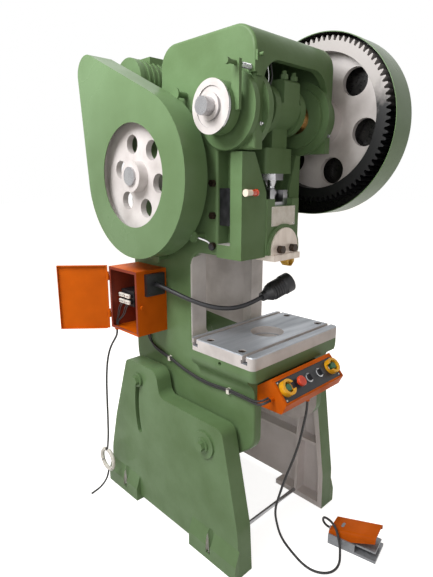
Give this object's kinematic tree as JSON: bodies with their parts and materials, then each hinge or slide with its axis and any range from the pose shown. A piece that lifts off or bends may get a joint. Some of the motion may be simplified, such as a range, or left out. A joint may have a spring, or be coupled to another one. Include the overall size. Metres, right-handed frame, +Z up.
{
  "type": "inclinable power press",
  "caption": "Open-back inclinable power press: geared crank, flywheel with belt drive and guards, slide over a slotted bolster, tilting C-frame on two legs, foot switch.",
  "frame": {"origin": "on the floor, in the middle of the four anchor holes of the legs", "axes": "+X to the machine's right, -Y to its front, +Z up"},
  "size_m": [0.9553, 1.2796, 2.108],
  "materials": {
    "green_enamel": "smooth enamel",
    "grey_enamel": "smooth enamel",
    "bolster_iron": "ground top, painted sides",
    "bare_steel": "turned",
    "dark_steel": "black oxide",
    "bronze": "turned",
    "belt_rubber": "matt",
    "orange_enamel": "smooth enamel",
    "black_plastic": "matt",
    "yellow_plastic": "gloss",
    "green_plastic": "gloss",
    "red_plastic": "gloss",
    "cast_aluminium": "cast, painted grey",
    "cord_rubber": "matt"
  },
  "bodies": {
    "stand": {"left_leg": "green_enamel", "right_leg": "green_enamel", "leg_tie_rod": "bare_steel", "pivot_pins": "bare_steel", "foot_switch_base": "cast_aluminium", "foot_switch_hood": "orange_enamel", "foot_cord": "cord_rubber", "mains_cord": "cord_rubber", "mains_tail": "cord_rubber", "mains_hank": "cord_rubber"},
    "frame": {"press_frame": "green_enamel", "bolster_plate": "bolster_iron", "bolster_bolts": "bare_steel", "left_gib": "green_enamel", "right_gib": "green_enamel", "gib_bolts": "bare_steel", "gib_wedges": "dark_steel", "shaft_bushes": "bronze", "flywheel_guard": "green_enamel", "gear_guard": "green_enamel", "motor_bracket": "green_enamel", "motor": "green_enamel", "drive_belts": "belt_rubber", "tilt_lock_bolts": "bare_steel", "electric_box": "orange_enamel", "contactor": "black_plastic", "lamp_base": "black_plastic", "gooseneck": "black_plastic", "lamp_head": "black_plastic", "panel_cable": "cord_rubber", "cable_clips": "bare_steel", "control_box": "orange_enamel", "control_fascia": "black_plastic", "button_collars": "yellow_plastic", "brake_band": "green_enamel", "brake_spring": "bare_steel", "brake_bracket": "green_enamel", "oil_sight": "red_plastic"},
    "crank": {"crankshaft": "bare_steel", "brake_drum": "grey_enamel"},
    "gear": {"drive_gear": "grey_enamel"},
    "flywheel": {"back_shaft": "bare_steel", "flywheel": "grey_enamel"},
    "pulley": {"motor_pulley": "bare_steel"},
    "rod": {"connecting_rod": "green_enamel", "rod_cap": "green_enamel", "cap_studs": "dark_steel", "adjusting_screw": "bare_steel"},
    "slide": {"slide": "green_enamel", "ball_seat": "bare_steel", "shank_clamp": "grey_enamel", "clamp_bolts": "dark_steel", "punch_block": "yellow_plastic"},
    "box_door": {"box_door": "orange_enamel"},
    "left_run_button": {"left_run_button": "green_plastic"},
    "right_run_button": {"right_run_button": "green_plastic"},
    "emergency_stop": {"emergency_stop": "red_plastic"},
    "left_selector": {"left_selector": "black_plastic"},
    "right_selector": {"right_selector": "black_plastic"},
    "foot_pedal": {"foot_pedal": "cast_aluminium"}
  },
  "joints": [
    {"name": "frame_tilt", "type": "hinge", "parent": "stand", "child": "frame", "pos_m": [0, -0.262, 0.505], "axis": [1, 0, 0], "range_deg": [-20, 0], "deforming": ["foot_cord", "mains_cord"]},
    {"name": "crank_turn", "type": "hinge", "parent": "frame", "child": "crank", "pos_m": [0, -0.304, 1.768], "axis": [1, 0, 0], "range_deg": [0, 180]},
    {"name": "rod_swing", "type": "hinge", "parent": "crank", "child": "rod", "pos_m": [0, -0.304, 1.8005], "axis": [1, 0, 0], "range_deg": [-180, 0]},
    {"name": "slide_stroke", "type": "slide", "parent": "frame", "child": "slide", "axis": [0, 0, 1], "range_m": [-0.065, 0]},
    {"name": "flywheel_spin", "type": "hinge", "parent": "frame", "child": "flywheel", "pos_m": [0, 0.085, 1.54578], "axis": [1, 0, 0], "continuous": true},
    {"name": "gear_spin", "type": "hinge", "parent": "frame", "child": "gear", "pos_m": [0.326, -0.304, 1.768], "axis": [1, 0, 0], "continuous": true},
    {"name": "pulley_spin", "type": "hinge", "parent": "frame", "child": "pulley", "pos_m": [-0.3, 0.378, 1.958], "axis": [1, 0, 0], "continuous": true},
    {"name": "door_swing", "type": "hinge", "parent": "frame", "child": "box_door", "pos_m": [-0.3896, 0.2906, 1.0235], "axis": [0, 0, 1], "range_deg": [0, 131]},
    {"name": "left_run_button_press", "type": "slide", "parent": "frame", "child": "left_run_button", "axis": [0, 0.7433, -0.669], "range_m": [0, 0.006], "stiffness_N_per_m": 900, "springref_m": -0.004},
    {"name": "right_run_button_press", "type": "slide", "parent": "frame", "child": "right_run_button", "axis": [0, 0.7433, -0.669], "range_m": [0, 0.006], "stiffness_N_per_m": 900, "springref_m": -0.004},
    {"name": "emergency_stop_press", "type": "slide", "parent": "frame", "child": "emergency_stop", "axis": [0, 0.7433, -0.669], "range_m": [0, 0.006], "stiffness_N_per_m": 900, "springref_m": -0.004},
    {"name": "left_selector_turn", "type": "hinge", "parent": "frame", "child": "left_selector", "pos_m": [-0.024, -0.541, 0.788], "axis": [0, -0.7433, 0.669], "range_deg": [-45, 45]},
    {"name": "right_selector_turn", "type": "hinge", "parent": "frame", "child": "right_selector", "pos_m": [0.045, -0.541, 0.788], "axis": [0, -0.7433, 0.669], "range_deg": [-45, 45]},
    {"name": "pedal_press", "type": "hinge", "parent": "stand", "child": "foot_pedal", "pos_m": [0.16562, -0.68604, 0.038], "axis": [0.9816, 0.1908, 0], "range_deg": [0, 10], "stiffness_Nm_per_rad": 8, "springref_deg": -14.32}
  ],
  "couplings": [
    {"joint": "rod_swing", "follows": "crank_turn", "ratio": -1},
    {"joint": "slide_stroke", "follows": "crank_turn", "m_per_rad": -0.02069},
    {"joint": "gear_spin", "follows": "flywheel_spin", "ratio": -0.4},
    {"joint": "pulley_spin", "follows": "flywheel_spin", "ratio": 5.6436}
  ]
}
